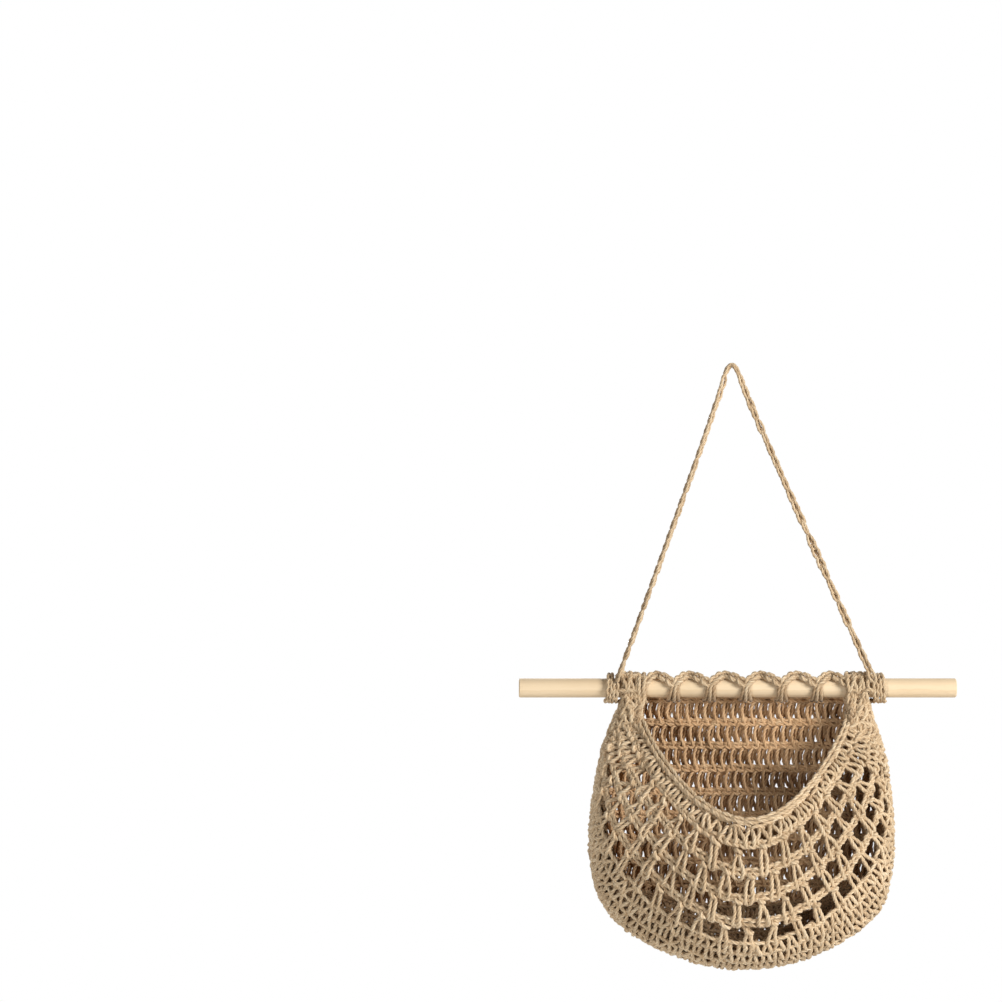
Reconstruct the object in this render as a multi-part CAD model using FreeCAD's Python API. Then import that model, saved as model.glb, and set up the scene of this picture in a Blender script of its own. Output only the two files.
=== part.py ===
"""Hanging crochet fruit basket: a wooden dowel slung in a chain cord, and a gathered pouch below it.

Millimetres. X runs along the dowel, Y towards the wall and Z up. The origin is the axis of the nail
that the cord hangs on. Shapes are made about the dowel's axis at the basket's middle, and then moved.
"""

import FreeCAD, Part
import math
import os

from FreeCAD import Vector

# Dowel
dowel_length = 365.0
dowel_r = 8.0
dowel_chamfer = 0.8
dowel_offset = -6.3  # of its middle from the basket's middle

# Hanging cord and the hitches that hold the dowel
cord_drop = 266.0  # from the nail's axis down to the dowel's axis
basket_offset = 10.9  # of the basket's middle from the nail
nail_r = 1.5
cord_d = 5.6
hitch_pitch = 6.4
hitch_room = 3.4  # beside a gather, which flares below the dowel
hitch_quarters = 5  # quarter turns round the dowel

# Clearances
soft_gap = 0.3  # between fabric and what it goes round or lies against
course_gap = 0.4  # between two courses

# Loops that carry the back panel on the dowel, and the chain arches between them
loop_d = 4.0
loop_count = 5
loop_share = 0.355  # of a gather's distance from the middle, from loop to loop
arch_d = 3.6
arch_foot_angle = 58.0  # from the dowel's top, towards the viewer
arch_peak_angle = 4.0

# Gathered ends
gather_half = 84.0  # from the basket's middle to a gather's inner side
gather_width = 18.0
gather_wall = 4.0  # round the dowel
gather_drop = 48.0  # down to where the courses part

# Pouch: its middle profile is part of an ellipse, from the rim down and back to the wall
fabric = 6.0
belly_y = -45.0
belly_z = -150.0
belly_depth = 67.0
belly_drop = 78.0
rim_angle = 128.0  # from straight down, towards the viewer
rim_d = 6.4
rim_half = 102.5  # half the mouth's width, at the dowel
spread_rate = 0.56  # how fast the courses widen below the rim
spread_growth = 0.0031  # per millimetre
spread_end = 150.0  # of profile, where that growth stops
side_top_front = 88.0  # half widths that the side walls keep within
side_top_back = 104.0
side_top_run = 120.0  # of profile, from the one to the other
side_max = 126.0
side_max_depth = 140.0
belly_lean = -4.0  # sideways, of the belly from the dowel's middle
corner_power = 8.0  # how squarely a course turns from its bottom to its side

# Courses, counted from the rim
end_crowding = 0.64  # share of the rim's distance to the collar that is left at the course's ends
collar_height = 14.0
mesh_count = 4
mesh_height = 22.0
base_count = 5
hole_pitch = 20.7
hole_width = 14.0
hole_bar = 6.5  # between the holes of two courses
hole_least = 5.0
hole_top = 66.0  # the holes stay this far below the dowel
station_count = 37  # sections of a course, along its length

# Back panel
panel_count = 9

middle = Vector(basket_offset, 0, -cord_drop)
cord_r = cord_d / 2
wall_y = dowel_r + soft_gap + cord_d
loop_pitch = gather_half * loop_share
bore_r = dowel_r + soft_gap
collar_start = (rim_d / 2 + course_gap) / end_crowding
parts = {}


def biarc(p0, t0, p1, t1):
    """Two arcs, tangent to each other, from p0 with direction t0 to p1 with direction t1."""
    v = p1 - p0
    a = 2 * t0.dot(t1) - 2
    b = -2 * v.dot(t0 + t1)
    c = v.dot(v)
    if abs(a) < 1e-9:
        d = -c / b
    else:
        root = math.sqrt(b * b - 4 * a * c)
        d = max((-b + root) / (2 * a), (-b - root) / (2 * a))
    q0 = p0 + t0 * d
    q1 = p1 - t1 * d
    joint = (q0 + q1) * 0.5
    return [tangent_arc(p0, q0, joint), tangent_arc(joint, q1, p1)]


def tangent_arc(start, corner, end):
    """The arc from start to end whose tangents meet at corner, or the line if they are in line."""
    chord_mid = (start + end) * 0.5
    rise = corner - chord_mid
    if rise.Length < 1e-6:
        return Part.makeLine(start, end)
    half_chord = (end - start).Length / 2
    half_turn = math.atan2(rise.Length, half_chord)
    sagitta = half_chord * math.tan(half_turn / 2)
    return Part.Arc(start, chord_mid + rise.normalize() * sagitta, end).toShape()


def tube(edges, start, direction, diameter):
    """A round tube along tangent edges, checked against its section times its length."""
    path = Part.Wire(edges)
    ring = Part.Wire(Part.makeCircle(diameter / 2, start, direction))
    solid = path.makePipeShell([ring], True, False)
    straight = math.pi * diameter**2 / 4 * path.Length
    if abs(solid.Volume / straight - 1) > 0.01 or not solid.isValid():
        raise ValueError("a tube's volume is not its section times its length")
    return solid


def polygon(points):
    """A closed wire of straight edges."""
    return Part.makePolygon(points + points[:1])


def flat_quad(points):
    """Four points moved onto the plane that lies between them."""
    centre = (points[0] + points[1] + points[2] + points[3]) * 0.25
    normal = (points[2] - points[0]).cross(points[3] - points[1]).normalize()
    return [p - normal * normal.dot(p - centre) for p in points]


def quad_loft(quads, ruled):
    """A solid through sections of four corners each, with flat ends."""
    ends = (0, len(quads) - 1)
    sections = [polygon(flat_quad(q) if i in ends else q) for i, q in enumerate(quads)]
    return Part.makeLoft(sections, True, ruled)


def move_in(name, shape):
    """Keep a shape under its node's name, moved from the basket's middle to the nail's frame."""
    placed = shape.copy()
    placed.translate(middle)
    if not placed.isValid():
        raise ValueError(name + " is not a valid shape")
    parts[name] = placed


# The pouch's surface


def profile_table():
    """Angles along the middle profile, with the length from the rim to each."""
    back_angle = -math.asin((wall_y - belly_y) / belly_depth)
    first = math.radians(rim_angle)
    steps = 800
    table = [(0.0, first)]
    for i in range(steps):
        angle = first + (back_angle - first) * (i + 0.5) / steps
        dy = belly_depth * math.cos(angle)
        dz = belly_drop * math.sin(angle)
        run = math.hypot(dy, dz) * (first - back_angle) / steps
        table.append((table[-1][0] + run, first + (back_angle - first) * (i + 1) / steps))
    return table


profile = profile_table()
profile_length = profile[-1][0]


def profile_angle(run):
    """The angle on the middle profile at a length from the rim."""
    low, high = 0, len(profile) - 1
    while high - low > 1:
        mid = (low + high) // 2
        if profile[mid][0] <= run:
            low = mid
        else:
            high = mid
    (a, angle_a), (b, angle_b) = profile[low], profile[high]
    return angle_a + (angle_b - angle_a) * (run - a) / (b - a)


def pouch_point(run, across, top=gather_drop):
    """A point of the pouch's outside, run below the rim along the profile.

    across goes from -1 at the course's left end to 1 at its right end, which are both top below the
    line where the courses' planes meet.
    """
    angle = profile_angle(run)
    centre_y = belly_y - belly_depth * math.sin(angle)
    centre_z = belly_z - belly_drop * math.cos(angle)
    reach = math.hypot(centre_y - wall_y, centre_z)
    lift = (1 - top / reach) * across**2
    depth = reach * (1 - lift)
    spread = rim_half + spread_rate * run + spread_growth * min(run, spread_end) ** 2
    bowl = spread * math.sqrt(lift)
    side_top = side_top_front + (side_top_back - side_top_front) * min(1, run / side_top_run)
    swell = math.sin(math.pi / 2 * min(1, depth / side_max_depth))
    side = side_top + (side_max - side_top) * swell
    half = bowl / (1 + (bowl / side) ** corner_power) ** (1 / corner_power)
    share = depth / reach
    return Vector(
        math.copysign(half, across) + belly_lean * swell,
        wall_y + (centre_y - wall_y) * share,
        centre_z * share,
    )


def pouch_frame(run, across, top=gather_drop):
    """A point of the pouch's outside, with the directions along the course, down the profile and out."""
    h = 0.5
    low, high = max(0, run - h), min(profile_length, run + h)
    down = pouch_point(high, across, top) - pouch_point(low, across, top)
    e = 0.01
    left, right = max(-1, across - e), min(1, across + e)
    along = pouch_point(run, right, top) - pouch_point(run, left, top)
    out = along.cross(down)
    along.normalize()
    down.normalize()
    out.normalize()
    if out.dot(pouch_point(run, across, top) - Vector(0, belly_y, belly_z)) < 0:
        out = out * -1
    return pouch_point(run, across, top), along, down, out


def wall_points(run, across, top=gather_drop):
    """The outer and the inner point of the fabric."""
    point, _, _, out = pouch_frame(run, across, top)
    return point, point - out * fabric


def pouch_course(start, end):
    """One course of the pouch: a band of fabric from start to end along the profile."""
    quads = []
    for i in range(station_count):
        across = 2 * i / (station_count - 1) - 1
        outer_a, inner_a = wall_points(start, across)
        outer_b, inner_b = wall_points(end, across)
        quads.append([outer_a, outer_b, inner_b, inner_a])
    return quad_loft(quads, False)


def course_length_table(run, steps=400):
    """Positions across a course, with the length from its middle to each."""
    table = [(0.0, 0.0)]
    last = pouch_point(run, 0)
    for i in range(1, steps + 1):
        point = pouch_point(run, i / steps)
        table.append((table[-1][0] + (point - last).Length, i / steps))
        last = point
    return table


def across_at(table, length):
    """The position across a course at a signed length from its middle."""
    for (a, across_a), (b, across_b) in zip(table, table[1:]):
        if a <= abs(length) <= b:
            found = across_a + (across_b - across_a) * (abs(length) - a) / (b - a)
            return math.copysign(found, length)
    return None


def mesh_holes(start, end, shift):
    """The cutters of one mesh course's holes, shifted by a share of their pitch."""
    run = (start + end) / 2
    table = course_length_table(run)
    holes = []
    count = int(table[-1][0] / hole_pitch) + 1
    for i in range(-count, count + 1):
        across = across_at(table, (i + shift) * hole_pitch)
        if across is None:
            continue
        point, along, down, out = pouch_frame(run, across)
        height = (pouch_point(end, across) - pouch_point(start, across)).Length - hole_bar
        if height < hole_least or -point.z < hole_top:
            continue
        corners = [(-0.5, 0), (-0.25, 0.5), (0.25, 0.5), (0.5, 0), (0.25, -0.5), (-0.25, -0.5)]
        base = point - out * (fabric * 1.5)
        rise = out.cross(along)
        outline = [base + along * (u * hole_width) + rise * (v * height) for u, v in corners]
        holes.append(Part.Face(polygon(outline)).extrude(out * (fabric * 2)))
    return holes


# Dowel


def make_dowel():
    """A plain round stick with eased ends."""
    start = Vector(dowel_offset - dowel_length / 2, 0, 0)
    stick = Part.makeCylinder(dowel_r, dowel_length, start, Vector(1, 0, 0))
    rims = [e for e in stick.Edges if isinstance(e.Curve, Part.Circle)]
    return stick.makeChamfer(dowel_chamfer, rims)


# Cord and hitches

hitch_r = bore_r + cord_r
hitch_start = gather_half + gather_width + hitch_room + cord_r
hitch_stub = cord_d


def hitch_point(side, turn):
    """A point of a hitch's winding, turn radians from the dowel's front, and its direction."""
    x = side * (hitch_start + hitch_pitch * turn / (2 * math.pi))
    point = Vector(x, -hitch_r * math.cos(turn), -hitch_r * math.sin(turn))
    lead = side * hitch_pitch / (2 * math.pi)
    direction = Vector(lead, hitch_r * math.sin(turn), -hitch_r * math.cos(turn))
    return point, direction.normalize()


def make_hitch(side):
    """The cord's turns round the dowel, beside a gather, in one unbroken tube."""
    first, first_way = hitch_point(side, 0)
    entry = first - first_way * hitch_stub
    edges = [Part.makeLine(entry, first)]
    for i in range(hitch_quarters):
        p0, t0 = hitch_point(side, i * math.pi / 2)
        p1, t1 = hitch_point(side, (i + 1) * math.pi / 2)
        edges += biarc(p0, t0, p1, t1)
    last, last_way = hitch_point(side, hitch_quarters * math.pi / 2)
    edges.append(Part.makeLine(last, last + last_way * hitch_stub))
    return tube(edges, entry, first_way, cord_d)


def hitch_self_gap():
    """The least clear distance between turns of a hitch, on points more than half a turn apart."""
    steps = hitch_quarters * 24
    line = [hitch_point(1, i * math.pi / 48)[0] for i in range(steps + 1)]
    least = min((a - b).Length for i, a in enumerate(line) for b in line[i + 48 :])
    return least - cord_d


def make_cord():
    """The hanging cord: two taut legs, and the bend over the nail that joins them."""
    seat_lift = hitch_stub * 0.7
    nail = Vector(-basket_offset, 0, cord_drop)
    feet = []
    for side in (-1, 1):
        first, way = hitch_point(side, 0)
        feet.append(first - way * seat_lift)
    across = (feet[1] - feet[0]).normalize()
    outward = across.cross(nail - feet[0]).normalize()
    bend_r = nail_r + cord_r
    touches = []
    for side, foot in zip((-1, 1), feet):
        line = foot - nail
        slope = math.acos(bend_r / line.Length)
        touches.append(nail + turned(line, outward, side * slope).normalize() * bend_r)
    top = ((touches[0] - nail) + (touches[1] - nail)).normalize() * bend_r + nail
    edges = [
        Part.makeLine(feet[0], touches[0]),
        Part.Arc(touches[0], top, touches[1]).toShape(),
        Part.makeLine(touches[1], feet[1]),
    ]
    print("cord bend radius", round(bend_r, 2), "legs", [round(e.Length, 1) for e in edges])
    return tube(edges, feet[0], touches[0] - feet[0], cord_d)


def turned(vector, axis, angle):
    """A vector turned about a unit axis by the right-hand rule."""
    cos, sin = math.cos(angle), math.sin(angle)
    return vector * cos + axis.cross(vector) * sin + axis * (axis.dot(vector) * (1 - cos))


# Loops, arches and gathers on the dowel


def make_loop(x):
    """A loop of chain round the dowel."""
    return Part.makeTorus(bore_r + loop_d / 2, loop_d / 2, Vector(x, 0, 0), Vector(1, 0, 0))


def on_dowel(x, angle, radius):
    """A point round the dowel, angle degrees from its top towards the viewer."""
    turn = math.radians(angle)
    return Vector(x, -radius * math.sin(turn), radius * math.cos(turn))


def make_arch(x0, x1):
    """A chain arch over the dowel's front and top, between two of the loops."""
    swing = math.radians(arch_foot_angle - arch_peak_angle) / 2
    radius = (bore_r + arch_d / 2) / math.cos(swing)
    foot_a = on_dowel(x0, arch_foot_angle, radius)
    peak = on_dowel((x0 + x1) / 2, arch_peak_angle, radius)
    foot_b = on_dowel(x1, arch_foot_angle, radius)
    curve = Part.Arc(foot_a, peak, foot_b)
    start = curve.tangent(curve.FirstParameter)[0]
    return tube([curve.toShape()], foot_a, start, arch_d)


def make_gather(side):
    """A gathered end: a sleeve on the dowel, and the bunched courses' ends below it."""
    sleeve_r = bore_r + gather_wall
    near, far = side * gather_half, side * (gather_half + gather_width)
    left = min(near, far)
    sleeve = Part.makeCylinder(sleeve_r, gather_width, Vector(left, 0, 0), Vector(1, 0, 0))
    seat = -sleeve_r / 2
    chord = math.sqrt(sleeve_r**2 - seat**2)
    quads = []
    count = 5
    for i in range(count):
        share = i / (count - 1)
        y = -chord + 2 * chord * share
        run = collar_start + (profile_length - collar_start) * share
        outer, inner = wall_points(run, side, gather_drop - 2 * course_gap)
        quads.append([Vector(far, y, seat), outer, inner, Vector(near, y, seat)])
    skirt = quad_loft(quads, True)
    bore = Part.makeCylinder(bore_r, 2 * dowel_length, Vector(-dowel_length, 0, 0), Vector(1, 0, 0))
    groove = make_rim(rim_d + 2 * course_gap)
    return sleeve.fuse(skirt).cut([bore, groove]).removeSplitter()


# Rim and back panel


def make_rim(diameter):
    """The mouth's edge: a round cord of stitches from the dowel down and up again."""
    top = bore_r + gather_wall
    spans = 12
    run = 0.0
    points, ways = [], []
    for i in range(spans + 1):
        point, along, _, _ = pouch_frame(run, 2 * i / spans - 1, top + rim_d)
        points.append(point)
        ways.append(along)
    edges = []
    for i in range(spans):
        edges += biarc(points[i], ways[i], points[i + 1], ways[i + 1])
    return tube(edges, points[0], ways[0], diameter)


def panel_edge(side):
    """Points down one side of the back panel's room, inside the gather and the last base course."""
    steps = 60
    line = [wall_points(profile_length, side * (1 - i / steps))[1] for i in range(steps)]
    top = Vector(side * gather_half, 0, -(bore_r + gather_wall) / 2)
    return [top] + line


def panel_x(line, side, z):
    """Where one side of the back panel is at a height."""
    for a, b in zip(line, line[1:]):
        if b.z <= z <= a.z:
            return a.x + (b.x - a.x) * (z - a.z) / (b.z - a.z) - side * course_gap
    return line[0].x - side * course_gap


def make_panel_courses():
    """The back panel's courses, flat against the wall, from the dowel down to the last base course."""
    left_edge, right_edge = panel_edge(-1), panel_edge(1)
    front_y = wall_y - fabric
    loop_out = bore_r + loop_d
    top = -math.sqrt(loop_out**2 - front_y**2) - soft_gap
    foot = wall_points(profile_length, 0)[1].z + course_gap * 2
    height = (top - foot) / panel_count
    rows = 6
    courses = []
    for i in range(panel_count):
        high = top - height * i - (course_gap if i else 0)
        low = top - height * (i + 1)
        levels = [high + (low - high) * j / rows for j in range(rows + 1)]
        right = [Vector(panel_x(right_edge, 1, z), front_y, z) for z in levels]
        left = [Vector(panel_x(left_edge, -1, z), front_y, z) for z in reversed(levels)]
        courses.append(Part.Face(polygon(right + left)).extrude(Vector(0, fabric, 0)))
    return courses


def build():
    """Make every piece."""
    move_in("dowel", make_dowel())
    move_in("hanging_cord", make_cord())
    move_in("left_hitch", make_hitch(-1))
    move_in("right_hitch", make_hitch(1))
    print("hitch gap to itself", round(hitch_self_gap(), 2))

    loops = [(i - (loop_count - 1) / 2) * loop_pitch for i in range(loop_count)]
    for i, x in enumerate(loops):
        move_in("dowel_loop_%d" % (i + 1), make_loop(x))
    gap = loop_d / 2 + arch_d / 2 + soft_gap
    outer = gather_half + loop_d / 2
    ends = [-outer] + loops + [outer]
    for i in range(len(ends) - 1):
        move_in("dowel_arch_%d" % (i + 1), make_arch(ends[i] + gap, ends[i + 1] - gap))
    move_in("left_gather", make_gather(-1))
    move_in("right_gather", make_gather(1))

    for i, course in enumerate(make_panel_courses()):
        move_in("back_course_%d" % (i + 1), course)

    move_in("rim", make_rim(rim_d))
    half_gap = course_gap / 2
    collar_end = collar_start + collar_height
    move_in("collar_course", pouch_course(collar_start, collar_end - half_gap))
    run = collar_end
    for i in range(mesh_count):
        start, end = run + half_gap, run + mesh_height - half_gap
        band = pouch_course(start, end)
        move_in("mesh_course_%d" % (i + 1), band.cut(mesh_holes(start, end, 0.5 * (i % 2))))
        run += mesh_height
    base_height = (profile_length - run) / base_count
    for i in range(base_count):
        start = run + base_height * i + half_gap
        end = run + base_height * (i + 1) - (half_gap if i < base_count - 1 else 0)
        move_in("base_course_%d" % (i + 1), pouch_course(start, end))


build()
os.makedirs("parts", exist_ok=True)
for name, shape in parts.items():
    shape.exportStep("parts/" + name + ".step")
    box = shape.BoundBox
    print(name, len(shape.Solids), round(shape.Volume), [round(v, 1) for v in (box.XMin, box.XMax,
          box.YMin, box.YMax, box.ZMin, box.ZMax)])
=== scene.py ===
"""Hanging crochet basket, laid out twine by twine: pouch, back panel, chain cord and wooden dowel.

Metres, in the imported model's frame: X along the dowel, Y towards the wall, Z up, origin on the nail's axis.
"""

import logging
import math
from dataclasses import dataclass, replace
from enum import Enum
from functools import cached_property

import bmesh
import bpy
import numpy as np
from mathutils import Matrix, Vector


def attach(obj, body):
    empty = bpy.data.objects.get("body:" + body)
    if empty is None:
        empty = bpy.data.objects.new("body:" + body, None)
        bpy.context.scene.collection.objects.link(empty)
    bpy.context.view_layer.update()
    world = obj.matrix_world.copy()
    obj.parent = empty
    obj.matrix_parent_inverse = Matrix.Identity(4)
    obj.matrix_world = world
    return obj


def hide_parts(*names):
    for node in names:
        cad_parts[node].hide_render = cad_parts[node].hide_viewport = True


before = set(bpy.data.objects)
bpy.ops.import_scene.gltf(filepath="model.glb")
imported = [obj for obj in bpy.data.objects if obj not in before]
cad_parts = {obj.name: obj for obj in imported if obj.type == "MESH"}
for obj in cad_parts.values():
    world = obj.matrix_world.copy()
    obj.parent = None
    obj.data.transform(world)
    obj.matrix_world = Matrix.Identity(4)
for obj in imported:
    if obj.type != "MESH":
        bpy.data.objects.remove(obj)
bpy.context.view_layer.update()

LOG = logging.getLogger("basket")
Socket = bpy.types.NodeSocket
Triple = tuple[float, float, float]
WHITE = (1.0, 1.0, 1.0)
MIDDLE = np.array((0.0109, 0.0, -0.266))  # the dowel's axis at the basket's middle
TO_VIEWER = np.array((0.0, -1.0, 0.0))
BORE = 0.0083  # the radius that loops and gathers leave for the dowel
GATHER_HALF = 0.084  # from the basket's middle to a gather's inner end
COLLAR_START = 0.0056  # from the rim's edge down to the collar
PLY_R = 0.00182  # the radius that every strand's section coordinates are scaled to
SPLINE_LAG = 0.5  # how far inside its end points, in points, a strand's depth is first and last read
GRID_END = 1.001  # how far below a grid's size a place on it stays, so that a next point is there

# Twine paths. A row of a table is one control point of a stitch: side in leg spacings, lead in stitch
# widths, rise in course heights, lift and out in twine radii.
TOP_LOOP = (
    (0.3, 0.10, 1.0, 0.6, 1.0),
    (0.0, 0.60, 1.0, 1.0, 1.2),
    (0.0, 1.12, 1.0, 0.6, 0.5),
    (0.0, 1.22, 1.0, -0.2, -0.5),
    (0.0, 0.80, 1.0, -0.5, -1.2),
)
# A chain's loop: lead in its pitch, side and out in twine radii. The last loop ends a tail past its pitch.
CHAIN_TAIL = 0.32
CHAIN_LOOP = (
    (0.00, -0.25, -0.60),
    (0.35, -0.80, 0.80),
    (0.85, -1.15, 0.35),
    (1.20, -0.70, -0.05),
    (1.32, 0.00, -0.15),
    (1.20, 0.70, -0.05),
    (0.85, 1.15, 0.35),
    (0.35, 0.80, 0.80),
    (0.00, 0.25, -0.60),
    (0.45, 0.10, -1.10),
)
# A strand of a dowel loop: degrees from the dowel's top towards the viewer, lean as a share of the way to the
# next arch's peak, and fan in twine radii.
LOOP_STRAND = (
    (-168.0, 0.00, 1.3),
    (-120.0, 0.10, 1.1),
    (-75.0, 0.45, 1.1),
    (-30.0, 0.90, 1.1),
    (5.0, 1.00, 1.1),
    (30.0, 0.80, 1.2),
    (52.0, 0.35, 1.2),
    (75.0, 0.08, 1.2),
    (105.0, 0.00, 1.4),
    (140.0, 0.00, 1.9),
    (172.0, 0.00, 2.4),
)
# Strands carried behind the base's stitches, each to and fro between two rises in row heights.
CARRIED_ACROSS = (0.14, 0.86)
CARRIED_BORDER = (0.0, 0.0)


class Stitch(Enum):
    """How the twine runs in each kind of stitch."""

    POST = (
        (-0.2, -0.22, 0.95, 0.0, -1.2),
        (-0.7, 0.0, 0.86, 0.0, 0.2),
        (-0.9, 0.0, 0.62, 0.0, 0.8),
        (-1.0, 0.0, 0.34, 0.0, 0.9),
        (-1.1, 0.0, 0.08, 0.0, 1.7),
        (-1.0, 0.0, 0.0, -1.8, 0.9),
        (0.0, 0.0, 0.0, -2.5, -1.2),
        (1.0, 0.0, 0.0, -1.8, 0.9),
        (1.1, 0.0, 0.08, 0.0, 1.7),
        (1.0, 0.0, 0.34, 0.0, 0.9),
        (0.9, 0.0, 0.60, 0.0, 0.8),
        (0.5, 0.0, 0.80, 0.0, -0.6),
        (-1.2, 0.0, 0.90, 0.0, -1.2),
        (-1.8, 0.0, 0.86, 0.0, 0.2),
        (-0.8, 0.0, 0.82, 0.0, 2.0),
        (0.9, 0.0, 0.76, 0.0, 2.0),
        (1.8, 0.0, 0.72, 0.0, 0.1),
        (0.9, 0.0, 0.70, 0.0, -1.6),
        (0.1, 0.0, 0.40, 0.0, -1.0),
        (-0.3, 0.0, 0.08, 0.0, -1.2),
        (0.1, 0.0, 0.40, 0.0, -1.6),
        (0.2, 0.0, 0.86, 0.0, -1.6),
        (0.1, 0.0, 0.96, 0.0, -0.4),
    )
    CLOSE = (
        (-0.3, -0.10, 0.96, 0.0, -1.2),
        (0.0, -0.40, 0.72, 0.0, -1.9),
        (0.0, -0.46, 0.30, 0.0, -1.9),
        (0.0, -0.30, 0.00, 0.0, -1.4),
        (-0.8, 0.0, 0.0, -1.2, 0.4),
        (-1.0, 0.0, 0.10, 0.0, 1.4),
        (-1.0, 0.0, 0.45, 0.0, 1.5),
        (-1.0, 0.0, 0.80, 0.0, 1.2),
        (-0.8, 0.0, 0.98, 0.0, -0.2),
        (0.8, 0.0, 0.98, 0.0, -0.4),
        (1.0, 0.0, 0.80, 0.0, 1.0),
        (1.0, 0.0, 0.45, 0.0, 1.5),
        (1.0, 0.0, 0.10, 0.0, 1.4),
        (0.8, 0.0, 0.0, -1.2, 0.2),
        (0.0, 0.32, 0.10, 0.0, -1.6),
        (0.0, 0.36, 0.50, 0.0, -1.9),
        (0.0, 0.22, 0.84, 0.0, -2.0),
        (0.0, 0.02, 0.55, 0.0, -2.0),
        (0.0, -0.06, 0.05, 0.0, -1.9),
        (0.0, 0.10, 0.55, 0.0, -2.3),
        (0.0, 0.08, 0.90, 0.0, -1.5),
    ) + TOP_LOOP
    BACK = (
        (0.0, -0.15, 0.97, 0.0, -0.8),
        (0.0, -0.42, 0.76, 0.0, -1.0),
        (0.0, -0.50, 0.52, 0.0, -1.2),
        (0.0, -0.24, 0.14, 0.0, -0.8),
        (0.0, 0.00, 0.0, -1.2, -0.6),
        (0.0, 0.24, 0.0, -0.8, 0.9),
        (0.0, 0.04, 0.12, 0.0, 1.6),
        (0.0, -0.12, 0.32, 0.0, 1.5),
        (0.0, -0.14, 0.58, 0.0, 1.4),
        (0.0, 0.00, 0.78, 0.0, 1.4),
        (0.0, 0.26, 0.91, 0.0, 0.9),
        (0.0, 0.40, 0.88, 0.0, -0.6),
        (0.0, 0.42, 0.60, 0.0, -0.9),
        (0.0, 0.20, 0.24, 0.0, -0.9),
        (0.0, 0.20, 0.02, 0.0, -1.3),
        (0.0, -0.02, 0.28, 0.0, -1.5),
        (0.0, 0.16, 0.62, 0.0, -1.6),
        (0.0, 0.00, 0.92, 0.0, -1.1),
    ) + TOP_LOOP


class Body(Enum):
    """The bodies that pieces of twine move with."""

    HANGER = "hanger"
    BASKET = "basket"


def unit(vectors: np.ndarray) -> np.ndarray:
    """Give vectors of length 1."""
    return vectors / np.linalg.norm(vectors, axis=-1, keepdims=True)


def lengths_along(points: np.ndarray) -> np.ndarray:
    """Give the length from the first of a row of points to each of them."""
    return np.concatenate([[0.0], np.cumsum(np.linalg.norm(np.diff(points, axis=0), axis=1))])


def strand_path(points: np.ndarray, out: np.ndarray | float) -> np.ndarray:
    """Give a strand's control points with a fourth column, their distance out of the middle of the fabric."""
    return np.column_stack([points, np.broadcast_to(out, len(points))])


def read_grid(grid: np.ndarray, rise: np.ndarray, share: np.ndarray) -> np.ndarray:
    """Read a grid of numbers or vectors between its points.

    Args:
        grid: rows of values.
        rise: shares of the way from the first row to the last.
        share: shares of the way along a row.

    Returns:
        The values.
    """
    i = np.clip(rise * (grid.shape[0] - 1), 0, grid.shape[0] - GRID_END)
    j = np.clip(share * (grid.shape[1] - 1), 0, grid.shape[1] - GRID_END)
    i0, j0 = i.astype(int), j.astype(int)
    single = (1,) * (grid.ndim - 2)
    up, on = (part.reshape(-1, *single) for part in (i - i0, j - j0))
    low = grid[i0, j0] * (1 - on) + grid[i0, j0 + 1] * on
    high = grid[i0 + 1, j0] * (1 - on) + grid[i0 + 1, j0 + 1] * on
    return low * (1 - up) + high * up


# Materials


class ShaderKit:
    """A node tree with short calls for adding and joining nodes."""

    def __init__(self, tree: bpy.types.NodeTree) -> None:
        """Keep the tree to work on."""
        self.tree = tree

    def add(self, kind: str, links: dict | None = None, **values: object) -> bpy.types.Node:
        """Add a node.

        Args:
            kind: the node's type, without its ShaderNode prefix.
            links: input name or index, and the socket or value it takes.
            values: attributes of the node.

        Returns:
            The node.
        """
        node = self.tree.nodes.new(kind if kind.startswith("NodeGroup") else "ShaderNode" + kind)
        for name, value in values.items():
            setattr(node, name, value)
        for name, value in (links or {}).items():
            if isinstance(value, Socket):
                self.tree.links.new(value, node.inputs[name])
            else:
                node.inputs[name].default_value = value
        return node

    def math(self, operation: str, *values: object) -> Socket:
        """Add a Math node and give its output."""
        return self.add("Math", dict(enumerate(values)), operation=operation).outputs[0]

    def weigh(self, *parts: tuple[object, object]) -> Socket:
        """Add up two products."""
        return self.math("ADD", *(self.math("MULTIPLY", *part) for part in parts))

    def spread(self, value: object, low: float, high: float, to: tuple[float, float] = (0.0, 1.0)) -> Socket:
        """Map a value from low and high to another range, clamped."""
        links = {"Value": value, "From Min": low, "From Max": high, "To Min": to[0], "To Max": to[1]}
        return self.add("MapRange", links).outputs[0]

    def noise(self, place: object, scale: object, detail: float = 2.0, rough: float = 0.5) -> bpy.types.Node:
        """Add a noise texture."""
        links = {"Vector": place, "Scale": scale, "Detail": detail, "Roughness": rough}
        return self.add("TexNoise", links)

    def ramp(self, fac: Socket, *stops: tuple[float, tuple]) -> Socket:
        """Add a colour ramp.

        Args:
            fac: what it reads.
            stops: pairs of a position and a linear colour.

        Returns:
            Its colour.
        """
        node = self.add("ValToRGB", {"Fac": fac})
        marks = node.color_ramp.elements
        for i, (at, colour) in enumerate(stops):
            mark = marks[i] if i < 2 else marks.new(at)
            mark.position = at
            mark.color = (*colour, 1.0)
        return node.outputs["Color"]

    def times(self, a: Socket, b: Socket) -> Socket:
        """Multiply two colours."""
        return self.add("Mix", {0: 1.0, 6: a, 7: b}, data_type="RGBA", blend_type="MULTIPLY").outputs[2]

    def bump(self, strength: float, distance: float, height: Socket) -> Socket:
        """Add a Bump node and give its normal."""
        return self.add("Bump", {"Strength": strength, "Distance": distance, "Height": height}).outputs[0]


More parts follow.
